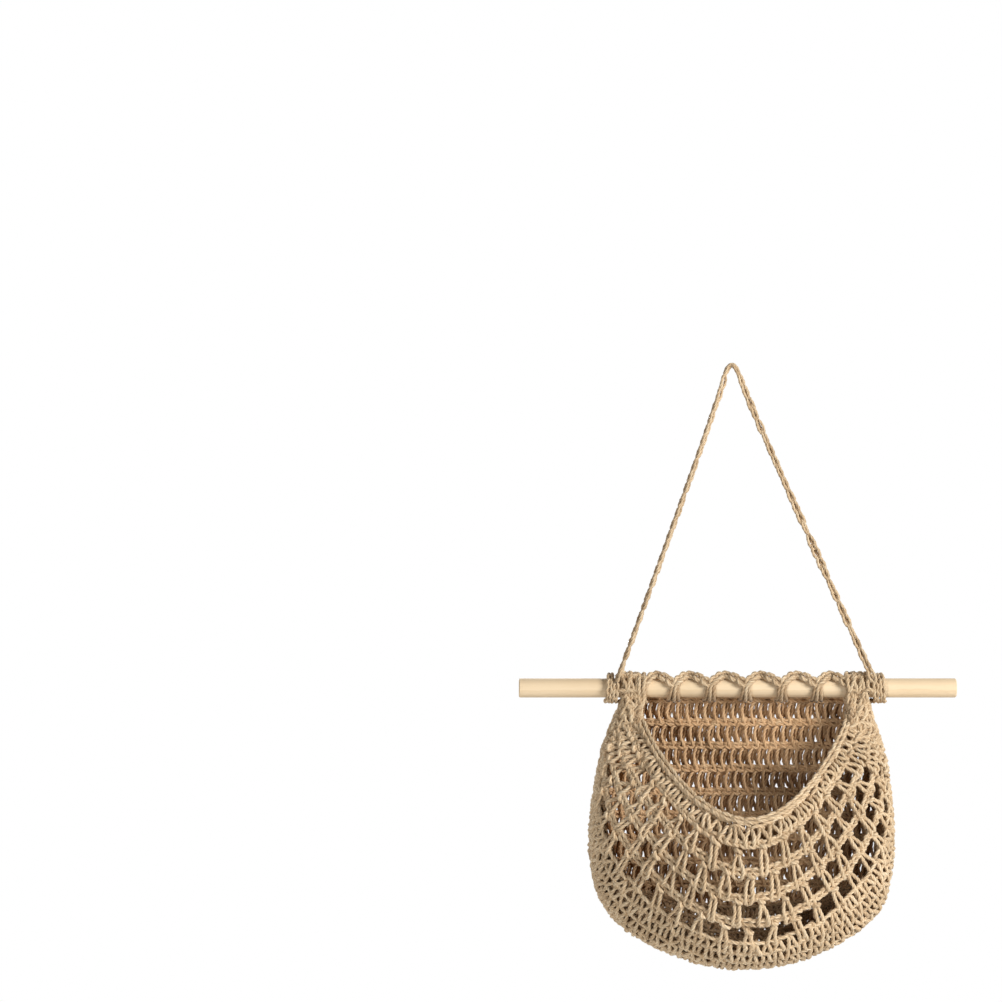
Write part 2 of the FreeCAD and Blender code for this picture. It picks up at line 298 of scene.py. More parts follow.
class StreakGroup:
    """The shared node group of long fine streaks, for fibres of jute and for grain of wood."""

    name = "long_streaks"

    def use(self, kit: ShaderKit, place: Socket, fineness: float, length: float,
            drift: float) -> bpy.types.bpy_prop_collection:
        """Add the group to a material.

        Args:
            kit: the material's nodes.
            place: a vector whose X runs along the streaks.
            fineness: how fine they are.
            length: how little they change along X.
            drift: how fine the slow change of tone is.

        Returns:
            Its outputs, Streaks and Drift.
        """
        links = {"Vector": place, "Fineness": fineness, "Length": length, "Drift": drift}
        return kit.add("Group", links, node_tree=self.tree()).outputs

    def tree(self) -> bpy.types.NodeTree:
        """Give the group's tree, made once.

        Returns:
            The tree.
        """
        if self.name in bpy.data.node_groups:
            return bpy.data.node_groups[self.name]
        tree = bpy.data.node_groups.new(self.name, "ShaderNodeTree")
        face = tree.interface
        face.new_socket("Vector", in_out="INPUT", socket_type="NodeSocketVector")
        for label in ("Fineness", "Length", "Drift"):
            face.new_socket(label, in_out="INPUT", socket_type="NodeSocketFloat")
        for label in ("Streaks", "Drift"):
            face.new_socket(label, in_out="OUTPUT", socket_type="NodeSocketFloat")
        kit = ShaderKit(tree)
        given = kit.add("NodeGroupInput").outputs
        x, y, z = kit.add("SeparateXYZ", {0: given["Vector"]}).outputs
        short = kit.math("MULTIPLY", x, given["Length"])
        lines = kit.add("CombineXYZ", {0: short, 1: y, 2: z}).outputs[0]
        fine = kit.noise(lines, given["Fineness"], 4.0, 0.62).outputs[0]
        slow = kit.noise(given["Vector"], given["Drift"]).outputs[0]
        kit.add("NodeGroupOutput", {"Streaks": kit.spread(fine, 0.28, 0.72), "Drift": slow})
        return tree


@dataclass(frozen=True)
class Finish:
    """A look with a name."""

    name: str

    def material(self) -> bpy.types.Material:
        """Give the finish's material, made once.

        Returns:
            The material.
        """
        if self.name in bpy.data.materials:
            return bpy.data.materials[self.name]
        material = bpy.data.materials.new(self.name)
        material.use_nodes = True
        material.node_tree.nodes.clear()
        kit = ShaderKit(material.node_tree)
        kit.add("OutputMaterial", {"Surface": self.surface(kit)})
        return material

    def surface(self, kit: ShaderKit) -> Socket:
        """Add the finish's own nodes and give its shader."""
        raise NotImplementedError


@dataclass(frozen=True)
class JuteFinish(Finish):
    """Matte natural jute twine: fibres that follow the plies, painted shade between the plies and on recessed
    strands, with paler lengths.
    """

    shade: Triple = (0.360, 0.240, 0.130)
    body: Triple = (0.820, 0.625, 0.400)
    pale: Triple = (0.980, 0.850, 0.630)
    # painted shade: the colour that darkens strands lying deep in the fabric
    recess_shade: Triple = (0.58, 0.50, 0.43)
    worn: Triple = (0.84, 0.82, 0.79)
    # painted shade in the grooves between the plies
    ply_groove_shade: Triple = (0.68, 0.62, 0.56)

    def surface(self, kit: ShaderKit) -> Socket:
        """Add nodes that read the twine's own strand and depth attributes.

        Args:
            kit: the material's nodes.

        Returns:
            The shader.
        """
        strand = kit.add("Attribute", attribute_name="strand", attribute_type="GEOMETRY").outputs["Vector"]
        depth = kit.add("Attribute", attribute_name="depth", attribute_type="GEOMETRY").outputs["Fac"]
        place = kit.add("TexCoord").outputs["Object"]
        fibre = StreakGroup().use(kit, strand, fineness=1700.0, length=0.07, drift=28.0)
        _, y, z = kit.add("SeparateXYZ", {0: strand}).outputs
        reach = kit.math("SQRT", kit.weigh((y, y), (z, z)))
        ridge = kit.spread(reach, PLY_R * 0.78, PLY_R * 0.99)
        drift = kit.spread(fibre["Drift"], 0.3, 0.7)
        tone = kit.weigh((fibre["Streaks"], 0.55), (drift, 0.45))
        colour = kit.ramp(tone, (0.08, self.shade), (0.45, self.body), (0.92, self.pale))
        patch = kit.noise(place, 24.0).outputs[0]
        # painted shade on recessed strands, read from their depth out of the fabric
        recess_shade_mask = kit.spread(depth, -2.0, 0.7)
        colour = kit.times(colour, kit.ramp(patch, (0.32, self.worn), (0.68, WHITE)))
        # painted shade where the twine's section dips between the plies
        colour = kit.times(colour, kit.ramp(ridge, (0.0, self.ply_groove_shade), (0.7, WHITE)))
        colour = kit.times(colour, kit.ramp(recess_shade_mask, (0.0, self.recess_shade), (1.0, WHITE)))
        height = kit.weigh((fibre["Streaks"], 0.6), (ridge, 0.4))
        links = {
            "Base Color": colour,
            "Roughness": kit.spread(fibre["Streaks"], 0.0, 1.0, (0.92, 0.74)),
            "Normal": kit.bump(0.55, 0.0004, height),
            "Specular IOR Level": 0.28,
            "Sheen Weight": 0.12,
            "Sheen Roughness": 0.5,
        }
        return kit.add("BsdfPrincipled", links).outputs[0]


@dataclass(frozen=True)
class WoodFinish(Finish):
    """Sanded pale wood, unfinished: growth rings that run along the stick, with fine pores."""

    early: Triple = (0.850, 0.675, 0.455)
    late: Triple = (0.775, 0.585, 0.365)
    stain: Triple = (0.93, 0.91, 0.88)
    heart: Triple = (0.010, 0.021, -0.279)

    def surface(self, kit: ShaderKit) -> Socket:
        """Add the nodes of a solid texture in the object's own coordinates.

        Args:
            kit: the material's nodes.

        Returns:
            The shader.
        """
        place = kit.add("TexCoord").outputs["Object"]
        centred = kit.add("Mapping", {"Vector": place, "Location": tuple(-v for v in self.heart)}).outputs[0]
        bend = kit.noise(centred, 9.0).outputs["Color"]
        links = {"Fac": 0.006, "Color1": centred, "Color2": bend}
        swayed = kit.add("MixRGB", links, blend_type="ADD").outputs[0]
        links = {"Vector": swayed, "Scale": 95.0, "Distortion": 1.2, "Detail": 2.0, "Detail Scale": 1.5}
        kinds = {"wave_type": "RINGS", "rings_direction": "X", "wave_profile": "SAW"}
        rings = kit.add("TexWave", links, **kinds).outputs["Fac"]
        grain = StreakGroup().use(kit, centred, fineness=900.0, length=0.02, drift=14.0)
        tone = kit.weigh((rings, 0.55), (grain["Streaks"], 0.45))
        colour = kit.ramp(tone, (0.15, self.early), (0.95, self.late))
        links = {
            "Base Color": kit.times(colour, kit.ramp(grain["Drift"], (0.3, self.stain), (0.7, WHITE))),
            "Roughness": kit.spread(grain["Streaks"], 0.0, 1.0, (0.5, 0.68)),
            "Normal": kit.bump(0.25, 0.0003, tone),
            "Specular IOR Level": 0.35,
        }
        return kit.add("BsdfPrincipled", links).outputs[0]


# Twine


def smooth_curve(name: str, route: np.ndarray, steps: int) -> bpy.types.Curve:
    """Make a smooth spline along a route.

    Args:
        name: its name.
        route: its control points.
        steps: points read for each of them.

    Returns:
        The curve.
    """
    curve = bpy.data.curves.new(name, "CURVE")
    curve.dimensions = "3D"
    curve.resolution_u = steps
    spline = curve.splines.new("NURBS")
    spline.points.add(len(route) - 1)
    spline.points.foreach_set("co", np.column_stack([route, np.ones(len(route))]).ravel())
    spline.order_u = 3
    spline.use_endpoint_u = True
    return curve


def mesh_of(curve: bpy.types.Curve) -> bpy.types.Mesh:
    """Turn a curve into a mesh and remove the curve.

    Args:
        curve: what smooth_curve() gave, with or without a section.

    Returns:
        The mesh.
    """
    holder = bpy.data.objects.new(curve.name, curve)
    bpy.context.scene.collection.objects.link(holder)
    graph = bpy.context.evaluated_depsgraph_get()
    mesh = bpy.data.meshes.new_from_object(holder.evaluated_get(graph), depsgraph=graph)
    bpy.data.objects.remove(holder)
    bpy.data.curves.remove(curve)
    return mesh


def vertex_places(mesh: bpy.types.Mesh) -> np.ndarray:
    """Give the places of a mesh's vertices."""
    places = np.empty(len(mesh.vertices) * 3)
    mesh.vertices.foreach_get("co", places)
    return places.reshape(-1, 3)


def smooth_line(name: str, route: np.ndarray, steps: int) -> np.ndarray:
    """Read points from a smooth spline along a route.

    Args:
        name: the spline's name.
        route: the route's points.
        steps: points read for each of them.

    Returns:
        The points in order.
    """
    mesh = mesh_of(smooth_curve(name, route, steps))
    points = vertex_places(mesh)
    bpy.data.meshes.remove(mesh)
    return points


@dataclass(frozen=True)
class Twine:
    """Three-ply twine: a lobed section that turns along its path."""

    finish: JuteFinish
    radius: float = 0.00182
    plies: int = 3
    sides: int = 9
    lobe: float = 0.11
    lay: float = 0.013
    slub: float = 0.07
    slub_limit: float = 0.2
    steps: int = 3

    def rim(self) -> np.ndarray:
        """Give the section's points, with one lobe for each ply."""
        turn = np.arange(self.sides) * 2 * math.pi / self.sides
        reach = self.radius * (1 - self.lobe + self.lobe * np.cos(self.plies * turn))
        return np.stack([reach * np.cos(turn), reach * np.sin(turn)], -1)

    def section(self) -> bpy.types.Object:
        """Give the curve that bevels a path into twine."""
        curve = bpy.data.curves.new("twine_section", "CURVE")
        spline = curve.splines.new("POLY")
        spline.points.add(self.sides - 1)
        for point, (x, y) in zip(spline.points, self.rim()):
            point.co = (x, y, 0.0, 1.0)
        spline.use_cyclic_u = True
        section = bpy.data.objects.new("twine_section", curve)
        bpy.context.scene.collection.objects.link(section)
        return section

    def tube(self, path: np.ndarray, section: bpy.types.Object) -> bpy.types.Mesh:
        """Sweep the twine along a smooth path.

        Args:
            path: control points of the path.
            section: the curve that section() gave.

        Returns:
            A mesh of rings in order along the path, open at its ends.
        """
        curve = smooth_curve("twine_path", path, self.steps)
        curve.bevel_mode = "OBJECT"
        curve.bevel_object = section
        hand = np.random.default_rng(len(path))
        slub = hand.normal(1.0, self.slub, len(path))
        points = curve.splines[0].points
        points.foreach_set("tilt", lengths_along(path) * 2 * math.pi / self.lay)
        points.foreach_set("radius", np.clip(slub, 1 - self.slub_limit, 1 + self.slub_limit))
        return mesh_of(curve)

    def strand(self, mesh: bpy.types.Mesh, start: float) -> np.ndarray:
        """Give each vertex its place on the strand.

        Args:
            mesh: what tube() gave.
            start: the length of twine used up before it.

        Returns:
            Length along the twine, and the two section coordinates, which turn with the plies.
        """
        rings = vertex_places(mesh).reshape(-1, self.sides, 3)
        along = start + lengths_along(rings.mean(1))
        rim = np.broadcast_to(self.rim() * PLY_R / self.radius, (len(rings), self.sides, 2))
        lead = np.broadcast_to(along[:, None, None], (len(rings), self.sides, 1))
        return np.concatenate([lead, rim], -1).reshape(-1, 3)

    def depth(self, mesh: bpy.types.Mesh, out: np.ndarray) -> np.ndarray:
        """Give each vertex its distance out of the fabric.

        Args:
            mesh: what tube() gave.
            out: the distance at each control point of its path.

        Returns:
            The distances in twine radii.
        """
        rings = len(mesh.vertices) // self.sides
        spots = np.linspace(SPLINE_LAG, len(out) - 1 - SPLINE_LAG, rings)
        return np.repeat(np.interp(spots, np.arange(len(out)), out) / self.radius, self.sides)


@dataclass
class Workbench:
    """Where paths of twine become finished pieces, each strand from another length of the twine."""

    used: float = 0.0
    offcut: float = 0.37

    def piece(self, node: str, paths: list[np.ndarray], twine: Twine,
              body: Body = Body.BASKET) -> bpy.types.Object:
        """Make one piece from its strands.

        Args:
            node: the solid that it stands for.
            paths: what strand_path() gave for each strand.
            twine: what the strands are made of.
            body: what the piece moves with.

        Returns:
            The piece.
        """
        name = node + ("_chain" if body is Body.HANGER else "_twine")
        section = twine.section()
        mould = bmesh.new()
        strands, depths = [], []
        for path in paths:
            tube = twine.tube(path[:, :3], section)
            strands.append(twine.strand(tube, self.used))
            depths.append(twine.depth(tube, path[:, 3]))
            self.used += self.offcut + strands[-1][-1, 0] - strands[-1][0, 0]
            mould.from_mesh(tube)
            bpy.data.meshes.remove(tube)
        bpy.data.curves.remove(section.data)
        ends = [edge for edge in mould.edges if edge.is_boundary]
        bmesh.ops.holes_fill(mould, edges=ends, sides=twine.sides)
        bmesh.ops.recalc_face_normals(mould, faces=mould.faces)
        for face in mould.faces:
            face.smooth = len(face.verts) == 4  # the ends stay flat
        mesh = bpy.data.meshes.new(name)
        mould.to_mesh(mesh)
        mould.free()
        layer = mesh.attributes.new("strand", "FLOAT_VECTOR", "POINT")
        layer.data.foreach_set("vector", np.concatenate(strands).ravel())
        layer = mesh.attributes.new("depth", "FLOAT", "POINT")
        layer.data.foreach_set("value", np.concatenate(depths))
        mesh.materials.append(twine.finish.material())
        piece = bpy.data.objects.new(name, mesh)
        bpy.context.scene.collection.objects.link(piece)
        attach(piece, body.value)
        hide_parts(node)
        LOG.info("%s: %d strands, %d faces", name, len(paths), len(mesh.polygons))
        return piece


class Line:
    """A line in space with a steady frame, which chains and turns of twine follow."""

    def __init__(self, points: np.ndarray, facing: np.ndarray) -> None:
        """Keep the line.

        Args:
            points: points in order.
            facing: the direction that stitches face, one for all or one for each point.
        """
        self.points = points
        self.marks = lengths_along(points)
        self.length = float(self.marks[-1])
        way = unit(np.gradient(points, self.marks, axis=0))
        facing = np.broadcast_to(facing, points.shape)
        self.out = unit(facing - way * (facing * way).sum(-1, keepdims=True))
        self.side = np.cross(way, self.out)

    def read(self, table: np.ndarray, along: np.ndarray) -> np.ndarray:
        """Read a table of vectors, one for each of the line's points, at lengths from its start."""
        return np.stack([np.interp(along, self.marks, table[:, k]) for k in range(3)], -1)

    def place(self, along: np.ndarray, side: np.ndarray, out: np.ndarray) -> np.ndarray:
        """Give a strand beside the line.

        Args:
            along: lengths from its start.
            side: distances to the right, seen from the facing side.
            out: distances towards the facing side.

        Returns:
            The strand's path.
        """
        beyond = along - np.clip(along, 0.0, self.length)
        first, last = self.points[1] - self.points[0], self.points[-1] - self.points[-2]
        way = unit(np.where(along[:, None] > self.length / 2, last, first))
        points = self.read(self.points, along) + way * beyond[:, None]
        beside = self.read(self.side, along) * side[:, None]
        return strand_path(points + beside + self.read(self.out, along) * out[:, None], out)

    def core(self, count: int, side: float, out: float) -> np.ndarray:
        """Give a straight strand of so many points, carried beside the line from end to end."""
        return self.place(np.linspace(0.0, self.length, count), np.full(count, side), np.full(count, out))

    def chain(self, pitch: float, twine: Twine, width: float, slack: float = 0.12,
              flare: float = 0.0) -> np.ndarray:
        """Work a chain along the line.

        Args:
            pitch: wanted length of a loop, which is fitted to the line's length.
            twine: what it is worked in.
            width: how wide its loops are, as a share of the usual.
            slack: how uneven they are, as a share of their size.
            flare: how much wider its first and last loops are.

        Returns:
            The path of its one strand.
        """
        count = max(2, round(self.length / pitch))
        hand = np.random.default_rng(count)
        table = np.array(CHAIN_LOOP)
        reach = count + CHAIN_TAIL
        lead = np.arange(count)[:, None] + table[:, 0] + hand.normal(0.0, slack / 2, (count, 1))
        lead = np.clip(lead, 0.0, reach) * self.length / reach
        loose = 1.0 + np.clip(hand.normal(0.0, slack, (count, 1)), -2 * slack, 2 * slack)
        loose += flare * np.exp(-np.minimum(np.arange(count), np.arange(count)[::-1]))[:, None]
        side = table[:, 1] * twine.radius * width * loose
        out = np.broadcast_to(table[:, 2] * twine.radius, lead.shape)
        return self.place(lead.ravel(), side.ravel(), out.ravel())


# Studio


@dataclass(frozen=True)
class Studio:
    """Camera, soft light, white surround and pale floor."""

    stand: Triple = (-0.1928, -2.8, -0.1099)
    lens: float = 120.47
    sensor: float = 36.0
    sight: float = 50.0
    aim: Triple = (0.0, 0.0, -0.33)
    floor_z: float = -0.62
    floor_r: float = 0.6
    floor_sides: int = 96
    floor_colour: Triple = (0.86, 0.86, 0.85)
    floor_rough: float = 0.8
    fill: float = 0.08

    def set_up(self) -> None:
        """Make the camera, the lights, the surround and the floor."""
        scene = bpy.context.scene
        scene.view_settings.view_transform = "Standard"
        camera = bpy.data.cameras.new("camera")
        camera.lens = self.lens
        camera.sensor_width = self.sensor
        camera.clip_end = self.sight
        viewer = bpy.data.objects.new("camera", camera)
        viewer.location = self.stand
        viewer.rotation_euler = (math.pi / 2, 0.0, 0.0)
        scene.collection.objects.link(viewer)
        scene.camera = viewer
        self.lamp("key", (1.7, -1.5, 0.40), 1.1, 70.0)
        self.lamp("front", (-1.3, -2.2, -0.88), 0.3, 22.0)
        self.lamp("side", (-2.0, 0.9, 0.4), 0.9, 9.0)
        self.lamp("back", (-0.6, 1.9, 0.6), 1.2, 30.0)
        self.surround(scene)
        self.floor(scene)

    def lamp(self, name: str, place: Triple, size: float, power: float) -> None:
        """Add a soft square lamp that faces the basket.

        Args:
            name: its name.
            place: where it is.
            size: its side.
            power: its watts.
        """
        light = bpy.data.lights.new(name, "AREA")
        light.size = size
        light.energy = power
        lamp = bpy.data.objects.new(name, light)
        lamp.location = place
        lamp.rotation_euler = (Vector(self.aim) - lamp.location).to_track_quat("-Z", "Y").to_euler()
        bpy.context.scene.collection.objects.link(lamp)

    def surround(self, scene: bpy.types.Scene) -> None:
        """Light from all round, and show white behind the object."""
        world = bpy.data.worlds.new("studio")
        scene.world = world
        world.use_nodes = True
        world.node_tree.nodes.clear()
        kit = ShaderKit(world.node_tree)
        path = kit.add("LightPath").outputs
        mirrored = kit.math("MAXIMUM", path["Is Glossy Ray"], path["Is Transmission Ray"])
        seen = kit.math("MAXIMUM", path["Is Camera Ray"], mirrored)
        strength = kit.spread(seen, 0.0, 1.0, (self.fill, 1.0))
        back = kit.add("Background", {"Color": (*WHITE, 1.0), "Strength": strength})
        kit.add("OutputWorld", {"Surface": back.outputs[0]})

    def floor(self, scene: bpy.types.Scene) -> None:
        """Lay the floor."""
        mould = bmesh.new()
        bmesh.ops.create_circle(mould, cap_ends=True, segments=self.floor_sides, radius=self.floor_r)
        bmesh.ops.translate(mould, verts=mould.verts, vec=(MIDDLE[0], 0.0, self.floor_z))
        mesh = bpy.data.meshes.new("floor")
        mould.to_mesh(mesh)
        mould.free()
        material = bpy.data.materials.new("floor_pale")
        material.use_nodes = True
        shader = material.node_tree.nodes["Principled BSDF"]
        shader.inputs["Base Color"].default_value = (*self.floor_colour, 1.0)
        shader.inputs["Roughness"].default_value = self.floor_rough
        mesh.materials.append(material)
        floor = bpy.data.objects.new("floor", mesh)
        scene.collection.objects.link(floor)


# Surfaces that the courses lie on


@dataclass(frozen=True)
class PouchWall:
    """The pouch's curved wall: an ellipse's profile, from the rim down and back to the wall."""

    wall_y: float = 0.0139
    fabric: float = 0.006
    belly_y: float = -0.045
    belly_z: float = -0.150
    belly_depth: float = 0.067
    belly_drop: float = 0.078
    rim_angle: float = 128.0
    rim_half: float = 0.1025
    spread_rate: float = 0.56
    spread_growth: float = 3.1
    spread_end: float = 0.150
    side_top_front: float = 0.088
    side_top_back: float = 0.104
    side_top_run: float = 0.120
    side_max: float = 0.126
    side_max_depth: float = 0.140
    belly_lean: float = -0.004
    corner_power: float = 8.0
    gather_drop: float = 0.048
    run_step: float = 0.0008
    across_step: float = 0.01
    profile_marks: int = 1601
    table_rows: int = 97
    table_marks: int = 401

    @cached_property
    def profile(self) -> tuple[np.ndarray, np.ndarray]:
        """Lengths along the middle profile, and the angle at each."""
        back = -math.asin((self.wall_y - self.belly_y) / self.belly_depth)
        angle = np.linspace(math.radians(self.rim_angle), back, self.profile_marks)
        mid = (angle[1:] + angle[:-1]) / 2
        step = np.hypot(self.belly_depth * np.cos(mid), self.belly_drop * np.sin(mid)) * -np.diff(angle)
        return np.concatenate([[0.0], np.cumsum(step)]), angle

    @property
    def length(self) -> float:
        """The middle profile's length."""
        return float(self.profile[0][-1])

    def shell(self, run: np.ndarray, across: np.ndarray, top: float | None = None) -> np.ndarray:
        """Give points of the wall's outside.

        Args:
            run: lengths below the rim along the profile.
            across: positions across a course, from -1 at its left end to 1 at its right end.
            top: how far below the dowel the ends are.

        Returns:
            The points, about the dowel's axis at the basket's middle.
        """
        run, across = np.broadcast_arrays(np.asarray(run, float), np.asarray(across, float))
        top = self.gather_drop if top is None else top
        angle = np.interp(run, *self.profile)
        centre_y = self.belly_y - self.belly_depth * np.sin(angle)
        centre_z = self.belly_z - self.belly_drop * np.cos(angle)
        reach = np.hypot(centre_y - self.wall_y, centre_z)
        lift = (1 - top / reach) * across**2
        depth = reach * (1 - lift)
        growth = self.spread_growth * np.minimum(run, self.spread_end) ** 2
        bowl = (self.rim_half + self.spread_rate * run + growth) * np.sqrt(lift)
        widening = (self.side_top_back - self.side_top_front) * np.minimum(1, run / self.side_top_run)
        side_top = self.side_top_front + widening
        swell = np.sin(math.pi / 2 * np.minimum(1, depth / self.side_max_depth))
        side = side_top + (self.side_max - side_top) * swell
        half = bowl / (1 + (bowl / side) ** self.corner_power) ** (1 / self.corner_power)
        share = depth / reach
        x = np.copysign(half, across) + self.belly_lean * swell
        y = self.wall_y + (centre_y - self.wall_y) * share
        return np.stack([x, y, centre_z * share], -1)

    def outward(self, run: np.ndarray, across: np.ndarray, top: float | None = None) -> np.ndarray:
        """Give the directions out of the wall.

        Args:
            run: lengths below the rim, one for each point.
            across: the points' positions across their courses.
            top: how far below the dowel the ends are.

        Returns:
            The directions.
        """
        above, below = np.maximum(run - self.run_step, 0), np.minimum(run + self.run_step, self.length)
        left, right = np.maximum(across - self.across_step, -1), np.minimum(across + self.across_step, 1)
        down = self.shell(below, across, top) - self.shell(above, across, top)
        along = self.shell(run, right, top) - self.shell(run, left, top)
        out = unit(np.cross(along, down))
        inside = self.shell(run, across, top) - np.array((0.0, self.belly_y, self.belly_z))
        return out * np.sign((out * inside).sum(-1, keepdims=True))

    @cached_property
    def share_table(self) -> tuple[np.ndarray, np.ndarray, np.ndarray]:
        """Runs, positions across for even shares of a course's length, and the courses' lengths."""
        runs = np.linspace(0.0, self.length, self.table_rows)
        across = np.linspace(-1.0, 1.0, self.table_marks)
        shares = np.linspace(0.0, 1.0, self.table_marks)
        marks = [lengths_along(row) for row in self.shell(runs[:, None], across[None, :])]
        table = [np.interp(shares, row / row[-1], across) for row in marks]
        return runs, np.array(table), np.array([row[-1] for row in marks])

    def course_length(self, run: float) -> float:
        """Give a course's length from end to end."""
        runs, _, lengths = self.share_table
        return float(np.interp(run, runs, lengths))

    def place(self, run: np.ndarray, share: np.ndarray, out: np.ndarray) -> np.ndarray:
        """Give points in the part's frame.

        Args:
            run: lengths below the rim.
            share: shares of a course's length, 0 at its left end and 1 at its right end.
            out: distances out of the middle of the fabric.

        Returns:
            The points.
        """
        run = np.clip(run, 0.0, self.length)
        across = read_grid(self.share_table[1], run / self.length, np.clip(share, 0.0, 1.0))
        point = self.shell(run, across)
        return MIDDLE + point + self.outward(run, across) * (out - self.fabric / 2)[:, None]


@dataclass(frozen=True)
class PanelPlane:
    """The flat back panel, between the gathers and inside the pouch's last course."""

    wall: PouchWall
    seat_z: float = -0.0062
    foot_z: float = -0.184
    inset: float = 0.0066
    forward: float = 0.0005
    marks: int = 120
    middle_gap: float = 0.05
    seam_marks: int = 121
    seam_pitch: float = 0.0095
    seam_width: float = 1.2

    @cached_property
    def edges(self) -> tuple[np.ndarray, np.ndarray, np.ndarray]:
        """Heights, and the panel's left and right sides at each."""
        heights = np.linspace(self.foot_z, self.seat_z, self.marks)
        sides = []
        for side in (-1, 1):
            across = side * np.linspace(self.middle_gap, 1.0, self.marks)
            top = np.array([[side * (GATHER_HALF + self.inset), self.wall.wall_y, self.seat_z]])
            line = np.concatenate([self.wall.shell(self.wall.length, across), top])
            sides.append(np.interp(heights, line[:, 2], line[:, 0]) - side * self.inset)
        return heights, sides[0], sides[1]

    def floor_at(self, x: np.ndarray) -> np.ndarray:
        """Give the height of the panel's rounded lower edge.

        Args:
            x: places along it.

        Returns:
            The heights.
        """
        heights, left, right = self.edges
        low_left, low_right = np.argmin(left) + 1, np.argmax(right) + 1
        on_left = np.interp(-x, -left[:low_left], heights[:low_left])
        on_right = np.interp(x, right[:low_right], heights[:low_right])
        return np.where(x < 0, on_left, on_right)

    def seam(self, twine: Twine) -> np.ndarray:
        """Work the chain that joins the panel to the pouch, along its sides and rounded lower edge.

        Args:
            twine: what it is worked in.

        Returns:
            The path of its strand.
        """
        line = self.wall.shell(self.wall.length, np.linspace(-1.0, 1.0, self.seam_marks))
        inward = unit(np.array((0.0, 0.0, self.wall.belly_z)) - line) * self.inset / 2
        points = self.place(line[:, 0] + inward[:, 0], line[:, 2] + inward[:, 2], 0.0)
        return Line(points, TO_VIEWER).chain(self.seam_pitch, twine, self.seam_width)

    def place(self, x: np.ndarray, z: np.ndarray | float, out: np.ndarray | float) -> np.ndarray:
        """Give points in the part's frame, out towards the viewer."""
        y = self.wall.wall_y - self.wall.fabric / 2 - self.forward - out
        return MIDDLE + np.stack(np.broadcast_arrays(x, y, z), -1)


# Courses


@dataclass(frozen=True)
class StitchGauge:
    """How a course is worked, and how far the hand strays from it."""

    width: float
    slack: float
    stitch: Stitch = Stitch.CLOSE
    leg: float = 0.0022
    splay: float = 0.0
    depth: float = 1.0
    feet: float = 1.0
    chains: int = 0
    chain_width: float = 1.25
    chain_sag: float = 0.03
    chain_stray: float = 0.02
    chain_slack: float = 0.4
    tilt_slack: float = 2.0
    rise_slack: float = 1.2
    place_slack: float = 0.6
    splay_stray: float = 0.55
    splay_rise: float = 0.55

    def work(self, centres: np.ndarray, height: float, twine: Twine, seed: int) -> tuple[np.ndarray, ...]:
        """Work stitches along a course, with chains between them where it has any.

        Args:
            centres: each stitch's distance along the course.
            height: the course's height.
            twine: what it is worked in.
            seed: of the hand's unevenness.

        Returns:
            Distance along, rise in course heights, and distance out, one row for each stitch.
        """
        hand = np.random.default_rng(seed)
        each = (len(centres), 1)
        side, lead, rise, lift, out = np.array(self.stitch.value).T
        tilt = hand.normal(0.0, self.slack * self.tilt_slack, each) * (rise - 0.5)
        splay = (self.splay + hand.normal(0.0, self.splay_stray, each)) * (self.splay_rise - rise)
        along = centres[:, None] + side * self.leg * (1 + splay) + lead * self.width + tilt
        along += hand.normal(0.0, self.slack * self.place_slack, along.shape)
        lift = lift * np.where(lift < 0, self.feet, 1.0) * twine.radius / height
        rise = rise + lift + hand.normal(0.0, self.slack * self.rise_slack, each) / height
        out = out * twine.radius * self.depth + hand.normal(0.0, self.slack * self.place_slack, each)
        if not self.chains:
            return along, rise, out
        links = self.links(centres, twine.radius, height, hand)
        return tuple(np.concatenate(pair, axis=1) for pair in zip((along, rise, out), links))

    def links(self, centres: np.ndarray, radius: float, height: float,
              hand: np.random.Generator) -> tuple[np.ndarray, ...]:
        """Work the chains that lead from each stitch to the next.

        Args:
            centres: each stitch's distance along the course.
            radius: the twine's.
            height: the course's height.
            hand: where the unevenness is drawn from.

        Returns:
            Distance along, rise in course heights, and distance out, one row for each stitch.
        """
        lead, side, bulge = np.array(CHAIN_LOOP).T
        gap = np.diff(np.append(centres, centres[-1] + self.width))[:, None, None]
        link = (np.arange(self.chains)[:, None] + lead) / self.chains
        along = centres[:, None, None] + link * gap
        sag = self.chain_sag * np.sin(math.pi * np.clip(link, 0, 1))
        rise = 1.0 - sag - side * self.chain_width * radius / height
        rise = rise + hand.normal(0.0, self.chain_stray, (len(centres), 1, 1))
        out = bulge * radius + hand.normal(0.0, self.slack * self.chain_slack, along.shape)
        return tuple(part.reshape(len(centres), -1) for part in (along, rise, out))


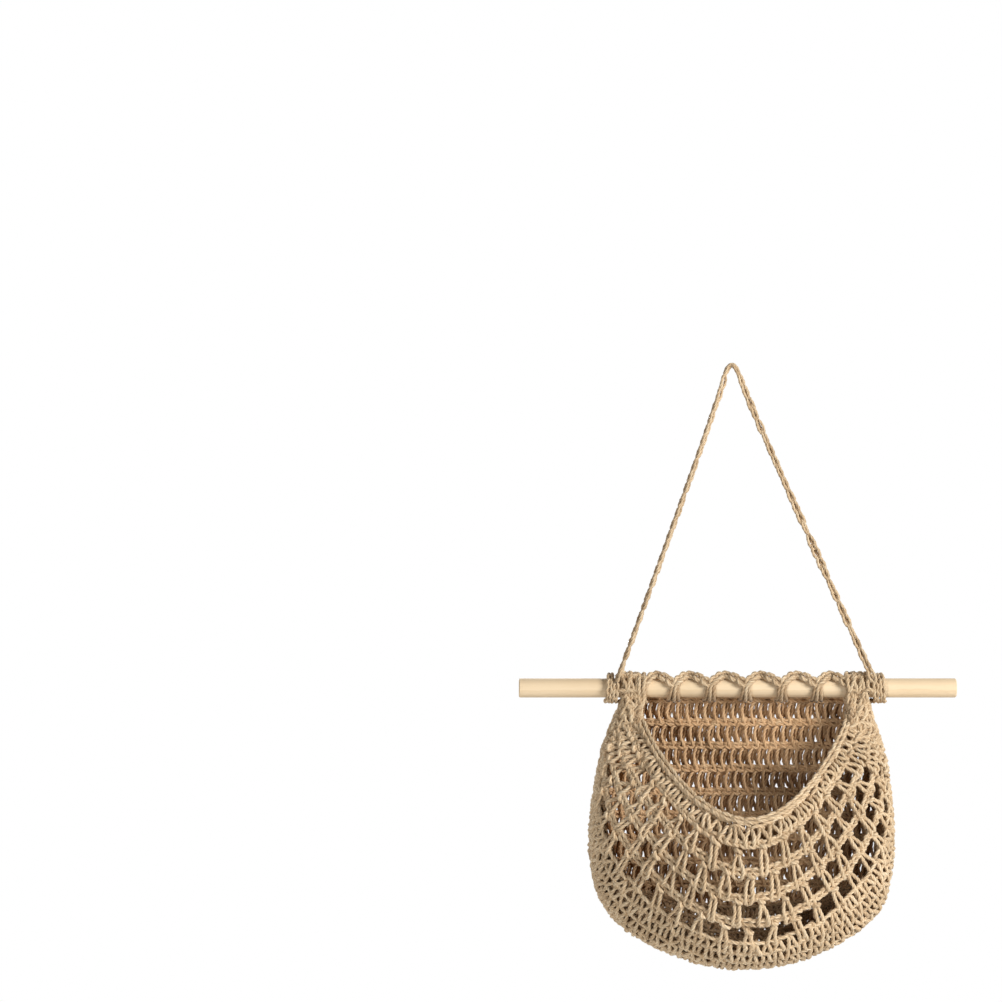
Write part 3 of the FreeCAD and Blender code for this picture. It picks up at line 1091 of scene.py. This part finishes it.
@dataclass(frozen=True)
class PouchCourse:
    """One course of the pouch, worked upwards from its lower border to its border nearer the rim."""

    name: str
    high: float
    low: float
    gauge: StitchGauge
    rows: int = 1
    shift: float = 0.0
    open_top: float = 0.066
    edge_legs: float = 1.5  # from the row's end to its first stitch, in legs
    edge_clear: float = 2.5  # from its end to the other stitches at least, in times that
    carried_rises: tuple[tuple[float, float], ...] = ()
    carried_out: float = -2.3  # in twine radii

    def paths(self, wall: PouchWall, twine: Twine, seed: int) -> list[np.ndarray]:
        """Lay the course's twine.

        Args:
            wall: the surface it lies on.
            twine: what it is worked in.
            seed: of the hand's unevenness.

        Returns:
            The path of each strand.
        """
        laid = []
        height = (self.low - self.high) / self.rows
        for row in range(self.rows):
            low = self.low - height * row
            length = wall.course_length(low - height / 2)
            centres = self.spots(wall, low - height / 2, length, (self.shift + 0.5 * row) % 1.0)
            gauge = replace(self.gauge, splay=self.gauge.splay * (1 - 2 * (row % 2)))
            along, rise, out = (part.ravel() for part in gauge.work(centres, height, twine, seed + row))
            share = along / length
            if row % 2:
                share = 1.0 - share
            laid.append(strand_path(wall.place(low - rise * height, share, out), out))
            for rises in self.carried_rises:
                laid.append(self.carried(wall, low - height * np.array(rises), length, twine))
        return laid

    def carried(self, wall: PouchWall, runs: np.ndarray, length: float, twine: Twine) -> np.ndarray:
        """Lay a strand that is carried to and fro behind the stitches of a close row.

        Args:
            wall: the surface it lies on.
            runs: the two lengths below the rim that it goes between.
            length: the row's length from end to end.
            twine: what it is made of.

        Returns:
            The strand's path.
        """
        count = 2 * int(length / self.gauge.width)
        out = np.full(count, self.carried_out * twine.radius)
        return strand_path(wall.place(runs[np.arange(count) % 2], np.linspace(0.0, 1.0, count), out), out)

    def spots(self, wall: PouchWall, run: float, length: float, shift: float) -> np.ndarray:
        """Place the stitches of a row.

        Args:
            wall: the surface it lies on.
            run: the row's length below the rim.
            length: the row's length from end to end.
            shift: of the stitches, in widths.

        Returns:
            The stitches' distances from the row's left end.
        """
        half = int(length / 2 / self.gauge.width) + 1
        spots = length / 2 + (np.arange(-half, half + 1) + shift) * self.gauge.width
        if self.gauge.chains:
            spots = np.sort(np.concatenate([spots, self.close_spots(wall, run, length, spots)]))
        edge = self.edge_legs * self.gauge.leg
        clear = (spots > self.edge_clear * edge) & (spots < length - self.edge_clear * edge)
        return np.concatenate([[edge], spots[clear], [length - edge]])

    def close_spots(self, wall: PouchWall, run: float, length: float, spots: np.ndarray) -> np.ndarray:
        """Give the extra stitches that close the mesh towards the gathers.

        Args:
            wall: the surface that the row lies on.
            run: the row's length below the rim.
            length: the row's length from end to end.
            spots: the row's other stitches.

        Returns:
            Distances half way between those stitches that lie above the open part.
        """
        between = (spots[1:] + spots[:-1]) / 2
        z = wall.place(np.full(len(between), run), between / length, np.zeros(len(between)))[:, 2] - MIDDLE[2]
        return between[z > -self.open_top]


@dataclass
class Pouch:
    """The pouch: rim, collar, open mesh and close base, all worked on one curved wall."""

    wall: PouchWall
    twine: Twine
    collar_height: float = 0.014
    collar_pitch: float = 0.0098
    mesh_count: int = 4
    mesh_height: float = 0.022
    mesh_pitch: float = 0.0207
    base_count: int = 5
    base_front: int = 2  # base courses with no strand along their borders
    base_pitch: float = 0.0104
    rim_top: float = 0.0187
    rim_run: float = 0.002
    rim_pitch: float = 0.0098
    rim_width: float = 0.95
    rim_marks: int = 121
    core_marks: int = 90
    core_side: float = 0.0004
    core_out: float = -0.0012
    seed: int = 100
    seed_step: int = 10

    def courses(self) -> list[PouchCourse]:
        """List the courses from the collar down.

        Returns:
            The courses, with their borders as lengths below the rim.
        """
        collar = StitchGauge(self.collar_pitch, slack=0.0013, leg=0.0025, splay=0.9)
        mesh = StitchGauge(
            self.mesh_pitch,
            slack=0.0012,
            stitch=Stitch.POST,
            leg=0.0021,
            splay=0.9,
            feet=1.5,
            chains=3,
        )
        close = StitchGauge(self.base_pitch, slack=0.0008, leg=0.0026, splay=-1.1)
        run = COLLAR_START + self.collar_height
        listed = [PouchCourse("collar_course", COLLAR_START, run, collar)]
        for i in range(self.mesh_count):
            name = "mesh_course_%d" % (i + 1)
            shift = 0.5 * ((i + 1) % 2)
            listed.append(PouchCourse(name, run, run + self.mesh_height, mesh, shift=shift))
            run += self.mesh_height
        height = (self.wall.length - run) / self.base_count
        for i in range(self.base_count):
            name = "base_course_%d" % (i + 1)
            high = run + height * i
            carried = (CARRIED_ACROSS,) if i < self.base_front else (CARRIED_ACROSS, CARRIED_BORDER)
            listed.append(PouchCourse(name, high, high + height, close, rows=2, carried_rises=carried))
        return listed

    def build(self, bench: Workbench) -> None:
        """Work all the courses and the rim."""
        for i, course in enumerate(self.courses()):
            paths = course.paths(self.wall, self.twine, self.seed + self.seed_step * i)
            bench.piece(course.name, paths, self.twine)
        self.build_rim(bench)

    def build_rim(self, bench: Workbench) -> None:
        """Work the mouth's edging: a chain with one strand carried along it."""
        across = np.linspace(-1.0, 1.0, self.rim_marks)
        points = self.wall.shell(0.0, across, self.rim_top)
        facing = self.wall.outward(np.full(self.rim_marks, self.rim_run), across, self.rim_top)
        line = Line(MIDDLE + points, facing)
        chain = line.chain(self.rim_pitch, self.twine, self.rim_width)
        core = line.core(self.core_marks, self.core_side, self.core_out)
        bench.piece("rim", [chain, core], self.twine)


@dataclass
class BackPanel:
    """The back panel: rows of close double stitches, flat against the wall."""

    plane: PanelPlane
    twine: Twine
    top: float = -0.0097
    foot: float = -0.1838
    count: int = 9
    pitch: float = 0.0077
    slack: float = 0.0006
    depth: float = 0.9
    fewest: int = 3
    least_height: float = 0.1
    band_out: float = 0.0009
    band_width: float = 1.2
    seed: int = 500

    def build(self, bench: Workbench) -> None:
        """Work the panel's courses, from the dowel down."""
        height = (self.top - self.foot) / self.count
        for i in range(self.count):
            strands = self.course(self.top - height * (i + 1), height, self.seed + i)
            if i == self.count - 1:
                strands.append(self.plane.seam(self.twine))
            bench.piece("back_course_%d" % (i + 1), strands, self.twine)

    def course(self, low: float, height: float, seed: int) -> list[np.ndarray]:
        """Work a course and the chain that it hangs from.

        Args:
            low: the course's lower border.
            height: its height.
            seed: of the hand's unevenness.

        Returns:
            The paths of its strands.
        """
        heights, left, right = self.plane.edges
        within = (heights >= low) & (heights <= low + height)
        start, end = float(left[within].min()), float(right[within].max())
        stitches = max(self.fewest, round((end - start) / self.pitch))
        centres = start + (np.arange(stitches) + 0.5) * (end - start) / stitches
        floor = np.maximum(low, self.plane.floor_at(centres) - self.twine.radius)
        kept = floor < low + (1 - self.least_height) * height
        gauge = StitchGauge((end - start) / stitches, self.slack, Stitch.BACK, depth=self.depth)
        x, rise, out = gauge.work(centres[kept], height, self.twine, seed)
        floor = floor[kept, None]
        z = floor + rise * (low + height - floor)
        x = np.clip(x, np.interp(z, heights, left), np.interp(z, heights, right))
        points = self.plane.place(x.ravel(), z.ravel(), out.ravel())
        return [strand_path(points, out.ravel()), self.edging(low + height, start, end)]

    def edging(self, z: float, start: float, end: float) -> np.ndarray:
        """Work the chain that a course hangs from.

        Args:
            z: its height.
            start: its left end.
            end: its right end.

        Returns:
            The strand's path.
        """
        heights, left, right = self.plane.edges
        reach = np.clip((start, end), np.interp(z, heights, left), np.interp(z, heights, right))
        ends = self.plane.place(reach, z, self.band_out)
        return Line(ends, TO_VIEWER).chain(self.pitch, self.twine, self.band_width)


# On the dowel


def round_dowel(x: np.ndarray | float, turn: np.ndarray, reach: np.ndarray | float) -> np.ndarray:
    """Give points round the dowel.

    Args:
        x: distances along the dowel from the basket's middle.
        turn: angles in radians from the dowel's top towards the viewer.
        reach: distances from the dowel's axis.

    Returns:
        The points in the part's frame.
    """
    x, turn, reach = np.broadcast_arrays(x, turn, reach)
    return MIDDLE + np.stack([x, -reach * np.sin(turn), reach * np.cos(turn)], -1)


@dataclass
class DowelTrim:
    """The loops that carry the back panel on the dowel, and the chain arches between them."""

    twine: Twine
    pitch: float = 0.02982
    count: int = 5
    end_gap: float = 0.001
    peak: float = 0.40
    loop_stray: float = 0.0004
    loop_lift: float = 1.5  # in twine radii
    loop_sink: float = 0.4  # in twine radii
    arch_marks: int = 60
    arch_foot: float = 70.0  # in degrees from the dowel's top
    arch_sweep: float = 68.0  # in degrees
    arch_lift: float = 0.0020
    arch_rise: float = 0.0010
    arch_facing: Triple = (0.0, -1.0, 0.5)
    arch_pitch: float = 0.0078
    arch_width: float = 1.25
    core_marks: int = 14
    core_side: float = 0.0004
    core_out: float = -0.0008

    def build(self, bench: Workbench) -> None:
        """Make the loops and the arches."""
        places = (np.arange(self.count) - (self.count - 1) / 2) * self.pitch
        for i, x in enumerate(places):
            bench.piece("dowel_loop_%d" % (i + 1), self.loop(x, i), self.twine)
        ends = [-GATHER_HALF - self.end_gap, *places, GATHER_HALF + self.end_gap]
        for i, (x0, x1) in enumerate(zip(ends, ends[1:])):
            bench.piece("dowel_arch_%d" % (i + 1), self.arch(x0, x1), self.twine)

    def loop(self, x: float, seed: int) -> list[np.ndarray]:
        """Lay the strands of a loop, which lean into the next arch on top and fan out over the panel's edge.

        Args:
            x: its place along the dowel.
            seed: of its unevenness.

        Returns:
            The paths of its strands.
        """
        hand = np.random.default_rng(seed)
        turn, lean, fan = np.array(LOOP_STRAND).T
        laid = []
        for place in (-1.0, 0.0, 1.0):
            beside = place * fan * self.twine.radius + hand.normal(0.0, self.loop_stray, len(turn))
            reach = BORE + self.twine.radius * (self.loop_lift - self.loop_sink * abs(place))
            points = round_dowel(x + lean * self.peak * self.pitch + beside, np.radians(turn), reach)
            laid.append(strand_path(points, self.twine.radius * -abs(place)))
        return laid

    def arch(self, x0: float, x1: float) -> list[np.ndarray]:
        """Lay a chain arch over the dowel.

        Args:
            x0: the post it rises from.
            x1: the post it comes down to.

        Returns:
            The paths of its strands.
        """
        share = np.linspace(0.0, 1.0, self.arch_marks)
        rise = np.minimum(share / self.peak, (1 - share) / (1 - self.peak))
        turn = np.radians(self.arch_foot - self.arch_sweep * rise)
        points = round_dowel(x0 + (x1 - x0) * share, turn, BORE + self.arch_lift + self.arch_rise * rise)
        line = Line(points, np.array(self.arch_facing))
        chain = line.chain(self.arch_pitch, self.twine, self.arch_width)
        return [chain, line.core(self.core_marks, self.core_side, self.core_out)]


@dataclass
class Gather:
    """A gathered end: turns of twine round the dowel, and close stitches down to the courses' ends."""

    side: int
    wall: PouchWall
    twine: Twine
    width: float = 0.018
    sleeve: float = 0.004
    sleeve_rows: int = 5
    sleeve_stitches: int = 3
    sleeve_lift: float = 1.8  # in twine radii
    sleeve_turn: float = 168.0  # in degrees
    girth: float = 0.065
    skirt_top: float = 0.0472
    skirt_rise: float = 0.046
    skirt_rows: int = 4
    skirt_stitches: int = 9
    sheet_foot: float = -0.1
    sheet_levels: int = 17
    sheet_marks: int = 61
    stations: int = 9
    turned_in: int = 3
    leg: float = 0.0024
    slack: float = 0.0007
    splay: float = 1.3
    flat: float = 0.45
    seed: int = 700
    seed_rows: int = 20
    seed_side: int = 5

    def sheet(self) -> np.ndarray:
        """Give a grid of points of the gather's skin.

        Returns:
            Rows from the courses' ends up to the dowel, each from inside the front edge round to the back.
        """
        sleeve_r = BORE + self.sleeve
        seat = -sleeve_r / 2
        chord = math.sqrt(sleeve_r**2 - seat**2)
        share = np.linspace(0.0, 1.0, self.stations)
        run = COLLAR_START + (self.wall.length - COLLAR_START) * share
        across = np.full(self.stations, float(self.side))
        outer = self.wall.shell(run, across, self.skirt_top)
        back_jute_painted_shade = outer - self.wall.outward(run, across, self.skirt_top) * self.wall.fabric
        y = -chord + 2 * chord * share
        far = np.stack(np.broadcast_arrays(self.side * (GATHER_HALF + self.width), y, seat), -1)
        near = np.stack(np.broadcast_arrays(self.side * GATHER_HALF, y, seat), -1)
        rows = []
        for t in np.linspace(self.sheet_foot, 1.0, self.sheet_levels):
            out_line = outer + (far - outer) * t
            in_line = back_jute_painted_shade + (near - back_jute_painted_shade) * t
            loop = np.concatenate([in_line[self.turned_in::-1], out_line, in_line[-1:]])
            line = Line(loop, np.array((0.0, 0.0, 1.0)))
            rows.append(line.read(loop, np.linspace(0.0, line.length, self.sheet_marks)))
        return np.array(rows)

    def on_sheet(self, grid: np.ndarray, rise: np.ndarray, share: np.ndarray, out: np.ndarray) -> np.ndarray:
        """Give points of the skin.

        Args:
            grid: what sheet() gave.
            rise: shares of the way up.
            share: shares of the way round.
            out: distances out of it.

        Returns:
            The points in the part's frame.
        """
        up, along = np.gradient(grid, axis=(0, 1))
        normal = unit(np.cross(along, up)) * self.side
        point, way = (read_grid(table, rise, share) for table in (grid, normal))
        return MIDDLE + point + way * (out - self.twine.radius)[:, None]

    def build(self, bench: Workbench) -> None:
        """Work the skirt up to the dowel and the sleeve round it."""
        node = ("left" if self.side < 0 else "right") + "_gather"
        bench.piece(node, self.skirt() + self.sleeve_strands(), self.twine)

    def rows(self, count: int, stitches: int, length: float, height: float) -> list[tuple[np.ndarray, ...]]:
        """Work close rows whose stitches splay one way and the other.

        Args:
            count: of rows.
            stitches: in each row.
            length: of each row.
            height: of each row.

        Returns:
            For each row, shares of its length, rises in rows from the first, and distances out.
        """
        worked = []
        for row in range(count):
            splay = self.splay * (1 - 2 * (row % 2))
            gauge = StitchGauge(length / stitches, self.slack, leg=self.leg, splay=splay, depth=self.flat)
            centres = (np.arange(stitches) + 0.5) * gauge.width
            seed = self.seed + self.seed_rows * count + row + self.seed_side * self.side
            along, rise, out = (part.ravel() for part in gauge.work(centres, height, self.twine, seed))
            worked.append((along / length, rise + row, out))
        return worked

    def skirt(self) -> list[np.ndarray]:
        """Work the rows from the courses' ends up to the dowel.

        Returns:
            The path of each row's strand.
        """
        grid = self.sheet()
        height = self.skirt_rise / self.skirt_rows
        laid = []
        for share, rise, out in self.rows(self.skirt_rows, self.skirt_stitches, self.girth, height):
            laid.append(strand_path(self.on_sheet(grid, rise / self.skirt_rows, share, out), out))
        return laid

    def sleeve_strands(self) -> list[np.ndarray]:
        """Work the rows round the dowel, from under its front over its top to its back.

        Returns:
            The path of each row's strand.
        """
        start, sweep = math.radians(self.sleeve_turn), math.radians(2 * self.sleeve_turn)
        reach = BORE + self.twine.radius * self.sleeve_lift
        height = reach * sweep / self.sleeve_rows
        laid = []
        for share, rise, out in self.rows(self.sleeve_rows, self.sleeve_stitches, self.width, height):
            x = self.side * (GATHER_HALF + self.width * share)
            turn = start - sweep * rise / self.sleeve_rows
            laid.append(strand_path(round_dowel(x, turn, reach + out), out))
        return laid


# Cord


@dataclass
class HangingCord:
    """The crocheted chain that the basket hangs on, and its hitches round the dowel."""

    twine: Twine
    diameter: float = 0.0056
    length: float = 0.578
    pitch: float = 0.0105
    width: float = 1.25
    slack: float = 0.2
    flare: float = 0.6
    twist: tuple[float, float] = (80.0, -10.0)
    nail_left: Triple = (-0.0125, -0.0014, -0.0309)
    nail_top: Triple = (-0.0008, 0.0, 0.0160)
    nail_right: Triple = (0.0145, -0.0014, -0.0309)
    route_steps: int = 60
    hitch_r: float = 0.0111
    hitch_swell: float = 1.035
    hitch_start: float = 0.1082
    hitch_pitch: float = 0.0054
    hitch_first: int = -30  # the hitch's angles in degrees
    hitch_last: int = 480
    hitch_turn: int = 30
    hitch_steps: int = 12
    hitch_tight: float = 0.58
    hitch_width: float = 1.2
    foot_lift: float = 0.0039

    def build(self, bench: Workbench) -> None:
        left, right = (self.foot(side) for side in (-1, 1))
        route = np.array((left, self.nail_left, self.nail_top, self.nail_right, right))
        path = smooth_line("cord_route", route, self.route_steps)
        turn = np.radians(np.linspace(*self.twist, len(path)))
        facing = np.stack([np.sin(turn), -np.cos(turn), np.zeros(len(path))], -1)
        chain = Line(path, facing).chain(self.pitch, self.twine, self.width, self.slack, self.flare)
        cord = bench.piece("hanging_cord", [chain], self.twine, Body.HANGER)
        hitches = [self.hitch(bench, side) for side in (-1, 1)]

    def foot(self, side: int) -> Triple:
        """Give the point where a leg of the cord meets its hitch.

        Args:
            side: -1 for the left leg, 1 for the right one.

        Returns:
            The point.
        """
        lead = side * self.hitch_pitch / (2 * math.pi * self.hitch_r)
        x = side * self.hitch_start - lead * self.foot_lift
        return tuple(float(v) for v in MIDDLE + np.array((x, -self.hitch_r, self.foot_lift)))

    def hitch(self, bench: Workbench, side: int) -> bpy.types.Object:
        """Make the cord's turns round the dowel.

        Args:
            bench: where it is made.
            side: -1 for the left hitch, 1 for the right one.

        Returns:
            The hitch.
        """
        node = ("left" if side < 0 else "right") + "_hitch"
        turns = np.radians(np.arange(self.hitch_first, self.hitch_last + 1, self.hitch_turn))
        reach = self.hitch_r * self.hitch_swell
        x = side * (self.hitch_start + self.hitch_pitch * turns / (2 * math.pi))
        route = MIDDLE + np.stack([x, -reach * np.cos(turns), -reach * np.sin(turns)], -1)
        path = smooth_line(node + "_route", route, self.hitch_steps)
        facing = path - MIDDLE
        facing[:, 0] = 0.0
        chain = Line(path, facing).chain(self.pitch * self.hitch_tight, self.twine, self.hitch_width)
        return bench.piece(node, [chain], self.twine, Body.HANGER)


@dataclass
class Dowel:
    """The wooden stick, which keeps its solid and gets its finish."""

    finish: WoodFinish

    def dress(self) -> None:
        """Give the stick its wood."""
        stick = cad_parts["dowel"]
        stick.data.materials.clear()
        stick.data.materials.append(self.finish.material())
        LOG.info("dowel: dressed")


def main() -> None:
    """Build the studio and the basket, piece by piece."""
    logging.basicConfig(level=logging.INFO, format="%(name)s: %(message)s")
    Studio().set_up()
    jute = JuteFinish("jute_twine")
    # darker, warmer copy of the same jute for the back panel: painted shade and painted orange bounce light,
    # the twine itself being the same
    back_jute_painted_shade = JuteFinish(
        "jute_twine_back_painted_shade",
        shade=(0.335, 0.198, 0.096),
        body=(0.725, 0.468, 0.254),
        pale=(0.850, 0.645, 0.410),
        # weaker painted shade on the back panel's recessed strands
        recess_shade=(0.80, 0.75, 0.70),
    )
    twine = Twine(jute)
    wall = PouchWall()
    bench = Workbench()
    HangingCord(Twine(jute, radius=0.0014)).build(bench)
    Dowel(WoodFinish("pale_wood_grain")).dress()
    DowelTrim(twine).build(bench)
    for side in (-1, 1):
        Gather(side, wall, twine).build(bench)
    BackPanel(PanelPlane(wall), Twine(back_jute_painted_shade, radius=0.00175)).build(bench)
    Pouch(wall, twine).build(bench)


if __name__ == "__main__":
    main()
